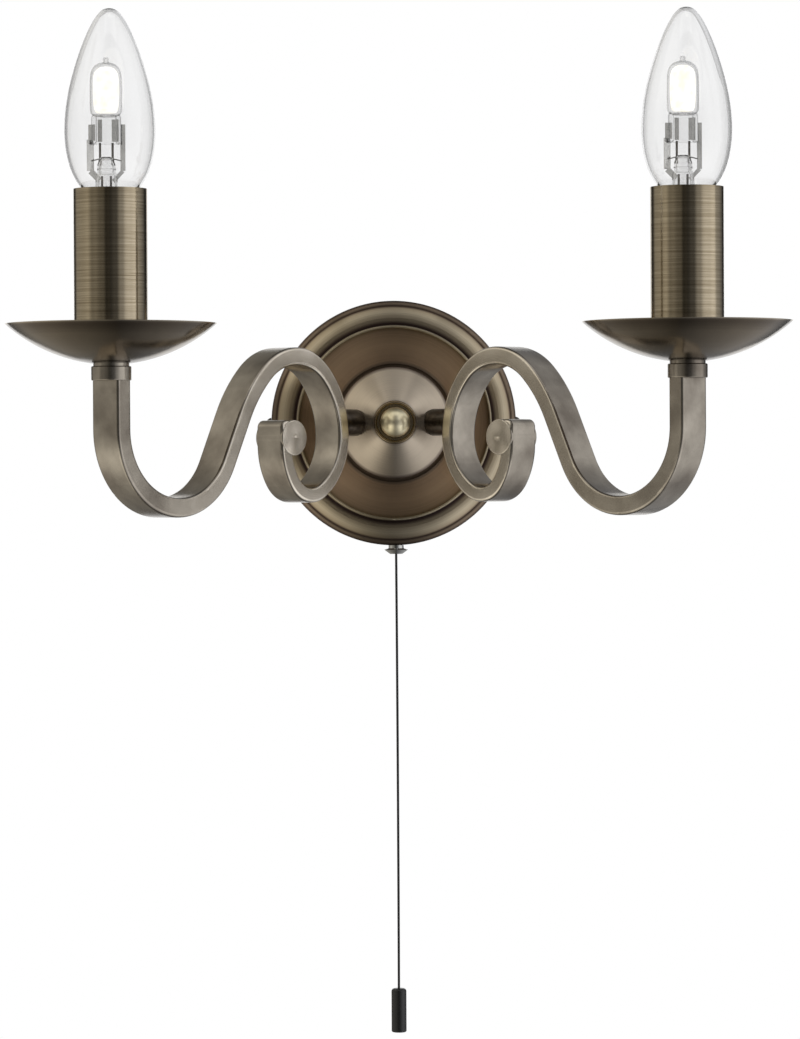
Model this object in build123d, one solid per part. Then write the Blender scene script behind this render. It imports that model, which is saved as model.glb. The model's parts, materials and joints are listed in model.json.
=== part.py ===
from build123d import *
import math
import os

os.makedirs("parts", exist_ok=True)

# Double arm wall light. Millimetres. The wall is the plane Y = 0, the light stands
# out towards -Y and +Z is up. The origin is the backplate's centre on the wall.

# ---- clearances ----
touch = 0.05          # between pieces that seat on each other along a curve
running = 0.05        # radial, shaft in its hole
free = 0.3            # between bodies that move apart
hole_play = 0.2       # radial, screw in a plain punched hole

# ---- backplate, a spun brass pan ----
plate_r = 50.5
plate_wall = 1.0
rim_depth = 9.5       # straight side wall
rim_round = 2.3
band_width = 7.2      # rim to the inner edge of the convex outer band
band_rise = 2.6
step_inset = 10.9     # rim to the foot and top of the raised centre
step_rise = 5.4
step_lean = 0.4
band_swell = 0.55     # how far the band stands proud of a plain cone
dish_sag = 0.35
bead_r = 0.8
recess_r = 24.3       # sunk seat that the hub stands in
dish = 0.9            # how far the centre falls towards the hub
recess_drop = 1.0
wire_hole_x = 9.0
wire_hole_z = -9.0
wire_hole_r = 3.2
band_in_r = plate_r - band_width
step_r = plate_r - step_inset

# ---- hub cone and finial ----
hub_r = 22.8
hub_foot = 3.9        # straight wall under the cone
hub_wall = 1.4
hub_nose_r = 8.9
stud_r = 2.5
ball_r = 6.1
ball_neck_r = 3.6
ball_neck = 1.1
cup_r = 8.7
cup_bore_r = 7.3
cup_depth = 1.9
cup_floor = 0.7
stud_nut_across = 8.0
stud_nut_height = 3.0

# ---- scrolled arms ----
arm_angle = 47.0      # the arms' planes swing out from the wall
arm_root = 11.0       # where those planes cross, in front of the wall
arm_width = 14.4
arm_wall = 0.9
arm_edge = 1.2
scroll_u = 37.6       # centre line of the scroll's hub side
scroll_z = -5.5
eye_r = 7.0
eye_rise = 2.8        # eye centre above the end of the last bend
eye_corner = 3.0
eye_skin = 0.1        # the eye is a round bar that stands out this far round the strip's end
eye_stand = 0.25      # and this far from the strip's faces
eye_dome = 0.5        # rise of its crowned ends
eye_round = 0.4

# bends of the bar from the hub side up and over to the candle: radius, turn, thickness
bar_start = 5.8
loop_bends = [(35.1, 45.0, 6.4), (23.8, 45.0, 7.1), (26.0, 42.7, 7.0), (57.6, 21.1, 6.9)]
rise_length = 21.4
cup_bend_r = 30.3     # the wide bend under the candle
cup_bend_mid = 7.6
riser_length = 18.7
bar_end = 7.2
# bends from the hub side down and in to the eye
curl_bends = [(25.4, 61.1, 6.0), (12.3, 83.9, 6.1), (26.0, 35.0, 6.1)]

stub_r = 5.5
stub_bore_r = 4.0
stub_flange_r = 6.5
stub_flange = 1.0
stub_tail_r = 4.9
stub_nut_across = 12.0
stub_nut_height = 3.0
stub_spare = 0.8      # thread past the nut
saddle_r = 6.5
saddle_height = 2.0   # on the stub's axis, less at its sides

# ---- candles ----
collar_r = 7.7
collar_height = 5.5
collar_floor = 1.1
collar_round = 0.45
neck_r = 6.9
neck_height = 1.1
nipple_r = 5.0
nipple_bore_r = 3.0
nipple_above = 8.5    # nipple top above the tray
tray_r = 40.5
tray_depth = 15.2
tray_wall = 1.0
tray_seat_r = 7.4
tray_curve = 61.5
tray_edge = 0.6
tray_nut_across = 12.6
tray_nut_height = 2.6
tube_r = 14.1
tube_wall = 0.8
tube_rise = 51.4      # tube top above the tray's rim

# ---- lampholders ----
holder_r = 12.4
holder_foot_r = 10.6
holder_foot = 12.0
holder_length = 34.0
holder_drop = 8.5     # holder top below the tube top
holder_floor = 7.5
holder_chamfer = 0.8
shell_r = 8.6
shell_wall = 1.5
shell_length = 22.5
bracket_wall = 1.0
bracket_width = 13.0
bracket_inset = 1.0   # strip's sides inside the holder's foot
bracket_ear = 4.0
tongue_wall = 0.5
tongue_width = 4.0
tongue_bend = 2.4

# ---- lamps, clear candle shape ----
lamp_r = 17.5
lamp_height = 68.9    # glass above the tube top
glass_wall = 0.6
glass_in_cap = 2.0
# the bulb's outline: share of its radius, share of its height above the tube
lamp_shape = [
    (0.655, 0.007),
    (0.78, 0.061),
    (0.918, 0.148),
    (1.0, 0.35),
    (0.951, 0.484),
    (0.872, 0.580),
    (0.763, 0.677),
    (0.643, 0.773),
    (0.474, 0.868),
    (0.285, 0.956),
]
cap_r = 6.8
cap_length = 21.0
cap_skirt_r = 8.1
cap_skirt = 3.6
cap_flare = 1.2
cap_wall = 0.5
cap_drop = 5.5        # cap's top below the tube top
cap_cone = 2.4
tip_r = 2.6
tip_height = 2.2
tip_edge = 0.8
capsule_r = 6.3
capsule_length = 20.8
capsule_base = 27.2   # capsule bottom above the tube top
quartz_wall = 1.0
quartz_foot = 1.5
pip_r = 1.3
pip_height = 2.2
seal_width = 8.4
seal_wall = 2.6
seal_length = 10.2
stem_r = 3.2
stem_length = 14.0
wire_r = 0.45
strip_width = 1.7
strip_wall = 0.4
frame_reach = 5.8     # support strips either side of the stem
frame_below = 2.0     # their tops below the capsule
frame_clip = 1.2
frame_foot = 3.5      # where they bend in, below the stem's top
filament_r = 0.7

# ---- wall bracket and wiring ----
strap_width = 20.0
strap_wall = 1.5
tab_gap = 1.4         # bent tabs clear of the pan's inside
strap_reach = plate_r - plate_wall - tab_gap
tab_width = 12.0
tab_height = 9.3
tab_shoulder = 13.0   # length of the narrowed ends
side_screw_y = 5.5
side_screw_r = 1.5
side_head_r = 2.5
side_head = 2.2
side_screw_length = 8.0
slot_spacing = 60.0
slot_length = 12.0
slot_r = 2.25
cable_hole_r = 5.0
cable_hole_x = 15.0
tongue_plate_width = 26.0
block_size = (28.0, 12.0, 17.0)
block_top = -7.0
block_screw_r = 2.0
block_screw_deep = 3.0
block_screw_height = 2.2
block_screw_spacing = 8.0
block_screw_rows = (6.0, 12.0)   # below the block's top
lead_r = 1.1
lead_bend = 4.0
lead_drop = 2.5       # leads lie low in the stubs
lead_entry = 2.0
hub_bend = 2.4
earth_head_r = 3.5
earth_head = 2.2
earth_slot = 0.9
earth_slot_width = 1.0
earth_shank_r = 1.6
earth_x = -15.0
earth_z = 4.0

# ---- pull switch ----
switch_x = 0.8
switch_y = -6.2
switch_size = (16.0, 9.0, 16.0)
switch_inset = 4.5    # housing clear of the plate's rim
switch_corner = 2.0
switch_floor = 2.4
switch_lid = 1.2
head_gap = 0.3        # plunger's head below the lid
switch_lead_x = 4.0   # leads either side of the plunger
bush_r = 2.5
bush_in_taper = 0.7   # how far the bush reaches down into the nut's taper
nut_neck_r = 3.15
nut_neck = 1.2
nut_flare_r = 5.1
nut_flare = 0.6
nut_tip_r = 2.65
nut_taper = 1.75
plunger_r = 1.2
guide_r = 1.28
plunger_head_r = 3.4
plunger_head = 2.0
pull_travel = 6.0
spring_wire_r = 0.3
spring_coils = 5
cord_r = 0.5
cord_length = 180.5
cord_bow = 0.35
cord_lean = 0.2
knob_r = 3.1
knob_length = 18.1
knob_round = 1.2


def turned_y(*edges):
    """A solid turned about the Y axis from an outline of (radius, y)."""
    return revolve(make_face(Wire(edges)), Axis.Y)


def turned_z(*edges):
    """A solid turned about the Z axis from an outline of (radius, z)."""
    return Rot(90, 0, 0) * turned_y(*edges)


def lines(*points):
    return Polyline(*points).edges()


def rod_y(radius, y_low, y_high, x=0.0, z=0.0):
    return extrude(Plane(origin=(x, y_low, z), z_dir=(0, 1, 0)) * Circle(radius), y_high - y_low)


def rod_z(radius, z_low, z_high, x=0.0, y=0.0):
    return Pos(x, y, z_low) * extrude(Circle(radius), z_high - z_low)


def brick(low, high):
    size = [b - a for a, b in zip(low, high)]
    centre = [(a + b) / 2 for a, b in zip(low, high)]
    return Pos(*centre) * Box(*size)


def hexagon(across, height):
    return extrude(RegularPolygon(across / math.sqrt(3), 6), height)


def save(name, shape):
    shape.label = name
    export_step(shape, f"parts/{name}.step")


def save_pair(name, shape):
    """The right-hand piece as drawn, and its mirror image on the left."""
    save(f"right_{name}", shape)
    save(f"left_{name}", mirror(shape, about=Plane.YZ))


def save_group(name, shapes):
    save(name, Compound(children=list(shapes)))


# ---- depths of the stacked pieces, measured from the wall towards the viewer ----
band_top = rim_depth + rim_round
groove_y = band_top + band_rise
step_top = groove_y + step_rise
dish_y = step_top - dish
recess_y = dish_y - recess_drop
plate_back = recess_y - plate_wall
hub_edge = recess_y + hub_foot


def plate_outline(inset):
    """Section of the pan, or of its hollow when inset by the wall."""
    rim = plate_r - inset
    band = plate_r - rim_round - inset
    groove = band_in_r - inset
    foot = step_r + bead_r - inset
    top = step_r - bead_r - inset
    recess = recess_r + inset
    low = inset
    swell = Vector((band + groove) / 2, -(band_top + groove_y) / 2 - band_swell + low)
    dish_mid = Vector((top + recess) / 2, -(step_top + dish_y) / 2 + dish_sag + low)
    return turned_y(
        Line((0, 0), (rim, 0)),
        Line((rim, 0), (rim, -rim_depth + low)),
        ThreePointArc(
            (rim, -rim_depth + low),
            (rim - rim_round * 0.293, -rim_depth - rim_round * 0.707 + low),
            (band, -band_top + low),
        ),
        ThreePointArc((band, -band_top + low), swell, (groove, -groove_y + low)),
        Line((groove, -groove_y + low), (foot, -groove_y + low)),
        Line((foot, -groove_y + low), (foot - step_lean, -step_top + low)),
        ThreePointArc(
            (foot - step_lean, -step_top + low),
            ((foot - step_lean + top) / 2, -step_top - bead_r + low),
            (top, -step_top + low),
        ),
        ThreePointArc((top, -step_top + low), dish_mid, (recess, -dish_y + low)),
        Line((recess, -dish_y + low), (recess, -recess_y + low)),
        Line((recess, -recess_y + low), (0, -recess_y + low)),
        Line((0, -recess_y + low), (0, 0)),
    )


def backplate():
    pan = plate_outline(0) - plate_outline(plate_wall)
    pan -= rod_y(stud_r + hole_play, -step_top, 0)
    for side in (-1, 1):
        pan -= rod_y(wire_hole_r, -step_top, 0, side * wire_hole_x, wire_hole_z)
        screw_hole = Plane(origin=(side * strap_reach, -side_screw_y, 0), z_dir=(side, 0, 0))
        pan -= extrude(screw_hole * Circle(side_screw_r + hole_play), plate_r - strap_reach)
    return pan - rod_z(bush_r + hole_play, -plate_r, -plate_r + 2 * plate_wall, switch_x, switch_y)


# ---- the arm, drawn in its own plane as (u, z): u runs outwards, z up ----
def heading(degrees):
    return Vector(math.cos(math.radians(degrees)), math.sin(math.radians(degrees)))


def walk(start, facing, thickness, legs):
    """Stations (point, heading in degrees, thickness) along legs of (size, turn, thickness).

    A leg is an arc of that radius, clockwise if its turn is negative, or a straight
    of that length if it doesn't turn."""
    point = Vector(*start)
    stations = [(point, facing, thickness)]
    for size, turn, thick in legs:
        if turn == 0:
            point = point + heading(facing) * size
        else:
            side = math.copysign(90, turn)
            centre = point + heading(facing + side) * size
            point = centre - heading(facing + turn + side) * size
        facing += turn
        stations.append((point, facing, thick))
    return stations


loop_turn = sum(turn for _, turn, _ in loop_bends)
upper_legs = [(radius, -turn, thick) for radius, turn, thick in loop_bends]
upper_legs.append((rise_length, 0, loop_bends[-1][2]))
upper_legs.append((cup_bend_r, loop_turn / 2, cup_bend_mid))
upper_legs.append((cup_bend_r, loop_turn / 2, bar_end))
upper_legs.append((riser_length, 0, bar_end))
lower_legs = [(radius, turn, thick) for radius, turn, thick in curl_bends]
upper = walk((scroll_u, scroll_z), 90.0, bar_start, upper_legs)
lower = walk((scroll_u, scroll_z), 270.0, bar_start, lower_legs)
whole_bar = [(point, facing + 180, thick) for point, facing, thick in reversed(lower)] + upper[1:]

candle_u, arm_top = upper[-1][0].X, upper[-1][0].Y
curl_end = lower[-1][0]
eye_outside = curl_end.X + curl_bends[-1][2] / 2
eye_inside = eye_outside - curl_bends[-1][2]
eye_u = eye_outside - eye_r
eye_z = curl_end.Y + eye_rise
eye_top = eye_z + eye_r

swing = math.radians(arm_angle)
arm_plane = Plane(
    origin=(0, -arm_root, 0),
    x_dir=(math.cos(swing), -math.sin(swing), 0),
    z_dir=(-math.sin(swing), -math.cos(swing), 0),
)
candle_x = candle_u * math.cos(swing)
candle_y = -arm_root - candle_u * math.sin(swing)


def biarc(start, start_way, end, end_way):
    """Two arcs that meet smoothly between two points with given directions."""
    if (start_way - end_way).length < 1e-6:
        return [Line(start, end)]
    span = end - start
    both = start_way + end_way
    spread = 2 * (1 - start_way.dot(end_way))
    reach = (math.sqrt(span.dot(both) ** 2 + spread * span.dot(span)) - span.dot(both)) / spread
    middle = (start + end + (start_way - end_way) * reach) / 2
    turning = (middle - start - start_way * reach).normalized()
    return [
        TangentArc(start, middle, tangent=start_way),
        TangentArc(middle, end, tangent=turning),
    ]


def bar_edge(stations, side, trim):
    """One edge of the bar as smooth arcs; side is 90 for the left of the walk, -90 the right."""
    edges = []
    ends = [(p + heading(way + side) * (thick / 2 - trim), heading(way)) for p, way, thick in stations]
    for (start, start_way), (end, end_way) in zip(ends, ends[1:]):
        edges += biarc(start, start_way, end, end_way)
    return edges


def arm_outline():
    """The bar, with the rounded end that the eye covers."""
    outer = bar_edge(whole_bar, 90, 0)
    inner = bar_edge(whole_bar, -90, 0)
    corner = [(eye_outside - eye_corner, eye_top), (eye_outside, eye_top - eye_corner)]
    outline = [
        *outer,
        Line(outer[-1] @ 1, inner[-1] @ 1),
        *inner,
        Line(inner[0] @ 0, (eye_inside, eye_top)),
        Line((eye_inside, eye_top), corner[0]),
        RadiusArc(*corner, eye_corner),
        Line(corner[1], outer[0] @ 0),
    ]
    return make_face(Wire(outline))


def eye_bar():
    """The eye: a short round bar across the strip, with low domed ends."""
    radius = eye_r + eye_skin
    edge = arm_width / 2 + eye_stand
    curve = ((radius - eye_round) ** 2 + eye_dome**2) / (2 * eye_dome)
    half_turn = math.asin((radius - eye_round) / curve) / 2
    crown = (curve * math.sin(half_turn), edge + eye_dome - curve * (1 - math.cos(half_turn)))
    corner = eye_round * (1 - math.sqrt(0.5))
    half = turned_z(
        Line((0, 0), (radius, 0)),
        Line((radius, 0), (radius, edge - eye_round)),
        ThreePointArc((radius, edge - eye_round), (radius - corner, edge - corner), (radius - eye_round, edge)),
        ThreePointArc((radius - eye_round, edge), crown, (0, edge + eye_dome)),
        Line((0, edge + eye_dome), (0, 0)),
    )
    return Pos(eye_u, eye_z, 0) * (half + mirror(half, about=Plane.XY))


def scroll_arm():
    bar = extrude(arm_outline(), arm_width / 2, both=True)
    ends = (bar.faces().sort_by(Axis.Z)[0], bar.faces().sort_by(Axis.Z)[-1])
    rims = [edge for end in ends for edge in end.edges() if edge.center().Y < arm_top - 0.01]
    bar = fillet(rims, arm_edge)
    point, facing, thick = whole_bar[-1]
    hollow = whole_bar[1:-1] + [(point + heading(facing), facing, thick)]
    left = bar_edge(hollow, 90, arm_wall)
    right = bar_edge(hollow, -90, arm_wall)
    ends = [Line(left[0] @ 0, right[0] @ 0), Line(left[-1] @ 1, right[-1] @ 1)]
    way = make_face(Wire([*left, *right, *ends]))
    bar -= extrude(way, arm_width / 2 - arm_wall, both=True)
    bar -= rod_along(stub_bore_r, scroll_u - arm_width, scroll_u)
    return bar + eye_bar()


def rod_along(radius, u_low, u_high):
    """A rod along the arm plane's own u axis."""
    return extrude(Plane(origin=(u_low, 0, 0), z_dir=(1, 0, 0)) * Circle(radius), u_high - u_low)


# ---- hub: the cone's side stands square to the arms ----
hub_nose = hub_edge + (hub_r - hub_nose_r) / math.tan(swing)
seat_u = hub_r * math.cos(swing) + (hub_edge - arm_root) * math.sin(swing)
saddle_start = seat_u - hub_wall - saddle_height
stub_tail = saddle_start - stub_nut_height - stub_spare


def cone_outline(inset):
    """The hub's shape, or its hollow when inset by the wall."""
    side = seat_u - inset
    foot_r = hub_r - inset
    edge = arm_root + (side - foot_r * math.cos(swing)) / math.sin(swing)
    nose = hub_nose - inset
    nose_r = (side - (nose - arm_root) * math.sin(swing)) / math.cos(swing)
    return turned_y(
        *lines((0, -recess_y), (foot_r, -recess_y), (foot_r, -edge)),
        *lines((foot_r, -edge), (nose_r, -nose), (0, -nose), (0, -recess_y)),
    )


def hub_cone():
    cone = cone_outline(0) - cone_outline(hub_wall) - rod_y(stud_r + running, -hub_nose, -recess_y)
    hole = arm_plane.location * rod_along(stub_tail_r + running, stub_tail, seat_u + hub_wall)
    return cone - hole - mirror(hole, about=Plane.YZ)


cup_front = hub_nose + cup_depth
ball_seat = hub_nose + cup_floor
ball_centre = ball_seat + ball_neck + math.sqrt(ball_r**2 - ball_neck_r**2)
stud_front = ball_seat + ball_neck + ball_r
stud_back = plate_back - stud_nut_height - 1.0


def finial_cup():
    bore = stud_r + running
    lip = (cup_r - cup_bore_r) / 2
    return turned_y(
        Line((bore, -hub_nose), (cup_r, -hub_nose)),
        Line((cup_r, -hub_nose), (cup_r, -cup_front + lip)),
        ThreePointArc(
            (cup_r, -cup_front + lip), (cup_r - lip, -cup_front), (cup_bore_r, -cup_front + lip)
        ),
        Line((cup_bore_r, -cup_front + lip), (cup_bore_r, -ball_seat)),
        Line((cup_bore_r, -ball_seat), (bore, -ball_seat)),
        Line((bore, -ball_seat), (bore, -hub_nose)),
    )


def finial_ball():
    neck_end = -ball_seat - ball_neck
    ball = turned_y(
        Line((0, -ball_seat), (ball_neck_r, -ball_seat)),
        Line((ball_neck_r, -ball_seat), (ball_neck_r, neck_end)),
        ThreePointArc((ball_neck_r, neck_end), (ball_r, -ball_centre), (0, -ball_centre - ball_r)),
        Line((0, -ball_centre - ball_r), (0, -ball_seat)),
    )
    return ball - rod_y(stud_r + running, -stud_front, -ball_seat)


def centre_nut():
    nut = Plane(origin=(0, -plate_back, 0), z_dir=(0, 1, 0)) * hexagon(stud_nut_across, stud_nut_height)
    return nut - rod_y(stud_r + running, -plate_back, -plate_back + stud_nut_height)


# ---- arm stubs, that screw through the cone's side ----
def arm_stub():
    """Tail, body and a flange cut to the curve of the bar."""
    stub = rod_along(stub_tail_r, stub_tail, seat_u)
    flange_start = scroll_u - bar_start / 2 - stub_flange
    stub += rod_along(stub_r, seat_u, flange_start)
    stub += rod_along(stub_flange_r, flange_start, scroll_u)
    outer = bar_edge(whole_bar, 90, -touch)
    inner = bar_edge(whole_bar, -90, -touch)
    close = [Line(outer[0] @ 0, inner[0] @ 0), Line(outer[-1] @ 1, inner[-1] @ 1)]
    stub -= extrude(make_face(Wire([*outer, *inner, *close])), arm_width, both=True)
    stub = stub.solids().sort_by(Axis.X)[0]
    return stub - rod_along(stub_bore_r, stub_tail - 1, scroll_u + 1)


def stub_saddle():
    """A washer, flat for the nut and rounded to the cone's inside, in the light's frame."""
    washer = arm_plane.location * rod_along(saddle_r, saddle_start, seat_u)
    bore = arm_plane.location * rod_along(stub_tail_r + running, saddle_start, seat_u)
    return (washer & cone_outline(hub_wall + touch)) - bore


def stub_nut():
    start = saddle_start - stub_nut_height
    nut = Plane(origin=(start, 0, 0), z_dir=(1, 0, 0)) * hexagon(stub_nut_across, stub_nut_height)
    return nut - rod_along(stub_tail_r + running, start, start + stub_nut_height)


# ---- candle: levels up the stack ----
tray_bottom = arm_top + collar_height + neck_height
tray_floor = tray_bottom + tray_wall
rim_z = tray_bottom + tray_depth
tube_top = rim_z + tube_rise
tray_nut_top = tray_floor + tray_nut_height
nipple_top = tray_floor + nipple_above
holder_top = tube_top - holder_drop
holder_bottom = holder_top - holder_length
bore_floor = holder_bottom + holder_floor


def collar():
    """A plain ring with a narrower neck, bored for the nipple."""
    low, high, top = arm_top, arm_top + collar_height, tray_bottom
    socket = nipple_r + running
    floor = arm_top + collar_floor
    ring = turned_z(
        *lines((nipple_bore_r, low), (collar_r, low), (collar_r, high), (neck_r, high)),
        *lines((neck_r, high), (neck_r, top), (socket, top)),
        *lines((socket, top), (socket, floor), (nipple_bore_r, floor), (nipple_bore_r, low)),
    )
    rims = ring.edges().filter_by(GeomType.CIRCLE).filter_by(lambda edge: edge.radius > neck_r)
    return fillet(rims, collar_round)


def drip_tray():
    hole = nipple_r + running
    rim_inside = tray_r - tray_edge
    return turned_z(
        Line((hole, tray_bottom), (tray_seat_r, tray_bottom)),
        RadiusArc((tray_seat_r, tray_bottom), (tray_r, rim_z), -tray_curve),
        Line((tray_r, rim_z), (rim_inside, rim_z)),
        RadiusArc((rim_inside, rim_z), (tray_seat_r, tray_floor), tray_curve - tray_wall),
        *lines((tray_seat_r, tray_floor), (hole, tray_floor), (hole, tray_bottom)),
    )


def nipple():
    low = arm_top + collar_floor
    return rod_z(nipple_r, low, nipple_top) - rod_z(nipple_bore_r, low, nipple_top)


def tray_nuts():
    """One nut on the tray and one on the bracket above it."""
    for low in (tray_floor, tray_nut_top + bracket_wall):
        nut = Pos(0, 0, low) * hexagon(tray_nut_across, tray_nut_height)
        yield nut - rod_z(nipple_r + running, low, low + tray_nut_height)


def candle_tube():
    """A plain tube that stands on the tray's curve."""
    seat = tray_curve - tray_wall
    start = math.sqrt(seat**2 - tray_seat_r**2)
    foot = tray_floor + start - math.sqrt(seat**2 - tube_r**2) + touch
    return rod_z(tube_r, foot, tube_top) - rod_z(tube_r - tube_wall, foot, tube_top)


# ---- lampholder ----
def holder_bracket():
    """A steel strip bent up from the nipple to the holder's underside."""
    half = holder_foot_r - bracket_inset
    base = tray_nut_top
    strip = brick((-half, -bracket_width / 2, base), (half, bracket_width / 2, base + bracket_wall))
    strip -= rod_z(nipple_r + running, base, base + bracket_wall)
    for side in (-1, 1):
        wall = sorted((side * half, side * (half - bracket_wall)))
        tab = sorted((side * half, side * (half - bracket_ear)))
        depth = bracket_width / 2
        strip += brick((wall[0], -depth, base), (wall[1], depth, holder_bottom))
        strip += brick((tab[0], -depth, holder_bottom - bracket_wall), (tab[1], depth, holder_bottom))
    return strip


def holder_body():
    step = holder_bottom + holder_foot
    body = rod_z(holder_foot_r, holder_bottom, step) + rod_z(holder_r, step, holder_top)
    body -= rod_z(shell_r + running, bore_floor, holder_top)
    body -= rod_z(lead_r + free, holder_bottom, bore_floor)
    mouth = body.edges().filter_by(GeomType.CIRCLE).group_by(Axis.Z)[-1]
    return chamfer(mouth, holder_chamfer)


def holder_shell():
    top = bore_floor + shell_length
    return rod_z(shell_r, bore_floor, top) - rod_z(shell_r - shell_wall, bore_floor, top)


cap_top = tube_top - cap_drop
cap_bottom = cap_top - cap_length
tip_top = cap_bottom - cap_cone
tip_bottom = tip_top - tip_height
tongue_top = tip_bottom - free
tongue_reach = shell_r - shell_wall - free


def holder_tongue():
    """The springy centre contact, bent up from the floor of the bore."""
    side = Wire(
        Polyline(
            (-tongue_reach, bore_floor),
            (-tongue_bend, bore_floor),
            (0, tongue_top - tongue_wall),
            (tip_r, tongue_top - tongue_wall),
            (tip_r, tongue_top),
            (-tongue_wall / 2, tongue_top),
            (-tongue_bend - tongue_wall / 2, bore_floor + tongue_wall),
            (-tongue_reach, bore_floor + tongue_wall),
            close=True,
        ).edges()
    )
    return Rot(90, 0, 0) * extrude(make_face(side), tongue_width / 2, both=True)


# ---- lamp: a clear candle bulb with a halogen capsule inside ----
glass_low = cap_top - glass_in_cap
glass_start_r = cap_skirt_r - cap_wall - running


def glass_outline(inset):
    """The bulb from its neck in the cap to its blunt tip, or its hollow when inset."""
    low = glass_low - inset
    neck = (glass_start_r - inset, cap_top)
    points = [(lamp_r * share - inset, tube_top + lamp_height * rise) for share, rise in lamp_shape]
    tip = (0, tube_top + lamp_height - inset)
    return turned_z(
        *lines((0, low), (neck[0], low), neck),
        Spline(neck, *points, tip, tangents=[(0.2, 1), (-1, 0)]),
        Line(tip, (0, low)),
    )


def lamp_glass():
    return glass_outline(0) - glass_outline(glass_wall)


def lamp_cap():
    skirt_low = cap_top - cap_skirt
    neck_low = skirt_low - cap_flare
    inner = cap_r - cap_wall
    skirt_in = cap_skirt_r - cap_wall
    return turned_z(
        *lines((cap_r, cap_bottom), (cap_r, neck_low), (cap_skirt_r, skirt_low)),
        *lines((cap_skirt_r, skirt_low), (cap_skirt_r, cap_top), (skirt_in, cap_top)),
        *lines((skirt_in, cap_top), (skirt_in, skirt_low), (inner, neck_low), (inner, cap_bottom)),
        Line((inner, cap_bottom), (cap_r, cap_bottom)),
    )


def lamp_tip():
    """Black glass insulator and the solder contact under it."""
    return turned_z(
        *lines((0, tip_bottom), (tip_r - tip_edge, tip_bottom), (tip_r, tip_bottom + tip_edge)),
        Line((tip_r, tip_bottom + tip_edge), (tip_r, tip_top)),
        *lines((tip_r, tip_top), (cap_r, cap_bottom), (0, cap_bottom), (0, tip_bottom)),
    )


capsule_low = tube_top + capsule_base
capsule_high = capsule_low + capsule_length
filament_low = capsule_low + quartz_foot
seal_low = capsule_low - seal_length


def lamp_capsule():
    """Quartz capsule, hollow, with its pinched seal and a pip on top."""
    def egg(radius, low, high):
        shoulder = radius / 2
        return turned_z(
            Line((0, low), (radius - shoulder, low)),
            RadiusArc((radius - shoulder, low), (radius, low + shoulder), -shoulder),
            Line((radius, low + shoulder), (radius, high - radius)),
            RadiusArc((radius, high - radius), (0, high), -radius),
            Line((0, high), (0, low)),
        )

    capsule = egg(capsule_r, capsule_low, capsule_high)
    capsule += rod_z(pip_r, capsule_high - 1, capsule_high + pip_height - pip_r)
    capsule += Pos(0, 0, capsule_high + pip_height - pip_r) * Sphere(pip_r)
    capsule -= egg(capsule_r - quartz_wall, filament_low, capsule_high - quartz_wall)
    seal = brick(
        (-seal_width / 2, -seal_wall / 2, seal_low), (seal_width / 2, seal_wall / 2, capsule_low + 1)
    )
    return capsule + seal


def lamp_filament():
    """The coiled filament's outer shape, upright on the capsule's axis."""
    return rod_z(filament_r, filament_low, capsule_high - capsule_r)


stem_low = cap_top
stem_top = stem_low + stem_length


def lamp_stem():
    foot = glass_start_r - glass_wall - touch
    waist = (stem_r + (foot - stem_r) / 3, stem_low + 0.4 * stem_length)
    return turned_z(
        Line((0, stem_low), (foot, stem_low)),
        Spline((foot, stem_low), waist, (stem_r, stem_top), tangents=[(-0.5, 1), (0, 1)]),
        *lines((stem_r, stem_top), (0, stem_top), (0, stem_low)),
    )


frame_top = capsule_low - frame_below


def lamp_supports():
    """Two lead wires into the seal, and two bent strips that clip it."""
    pieces = []
    for side in (-1, 1):
        pieces.append(rod_z(wire_r, stem_top, seal_low, side * stem_r / 2))
        near, clip = side * stem_r, side * seal_width / 2
        inner, outer = side * (frame_reach - strip_width / 2), side * (frame_reach + strip_width / 2)
        level = stem_top - frame_foot
        strip = Wire(
            Polyline(
                (near, level - strip_width),
                (outer, level),
                (outer, frame_top),
                (clip, frame_top),
                (clip, frame_top - frame_clip),
                (inner, frame_top - frame_clip),
                (inner, level),
                (near, level - strip_width / 2),
                close=True,
            ).edges()
        )
        strip = Rot(90, 0, 0) * extrude(make_face(strip), strip_wall / 2, both=True)
        pieces.append(strip - lamp_stem())
    return pieces


# ---- wall bracket ----
block_front = strap_wall + block_size[1]
block_low = block_top - block_size[2]


def wall_bracket():
    """A steel strap with bent tabs for the side screws and a tongue for the terminals."""
    half = strap_width / 2
    tongue_half = tongue_plate_width / 2
    strap = brick((-strap_reach, -strap_wall, -tab_width / 2), (strap_reach, 0, tab_width / 2))
    shoulder = strap_reach - tab_shoulder
    strap += brick((-shoulder, -strap_wall, -half), (shoulder, 0, half))
    strap += brick((-tongue_half, -strap_wall, block_low), (tongue_half, 0, 0))
    for side in (-1, 1):
        ends = sorted((side * strap_reach, side * (strap_reach - strap_wall)))
        strap += brick((ends[0], -tab_height, -tab_width / 2), (ends[1], 0, tab_width / 2))
        hole = Plane(origin=(side * (strap_reach - 2 * strap_wall), -side_screw_y, 0), z_dir=(side, 0, 0))
        strap -= extrude(hole * Circle(side_screw_r), 3 * strap_wall)
        slot_start = (side * slot_spacing / 2, -strap_wall, 0)
        slot = Plane(origin=slot_start, x_dir=(1, 0, 0), z_dir=(0, 1, 0))
        strap -= extrude(slot * SlotOverall(slot_length, 2 * slot_r), strap_wall)
    strap -= rod_y(cable_hole_r, -strap_wall, 0, cable_hole_x)
    return strap - rod_y(earth_shank_r + running, -strap_wall, 0, earth_x, earth_z)


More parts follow.
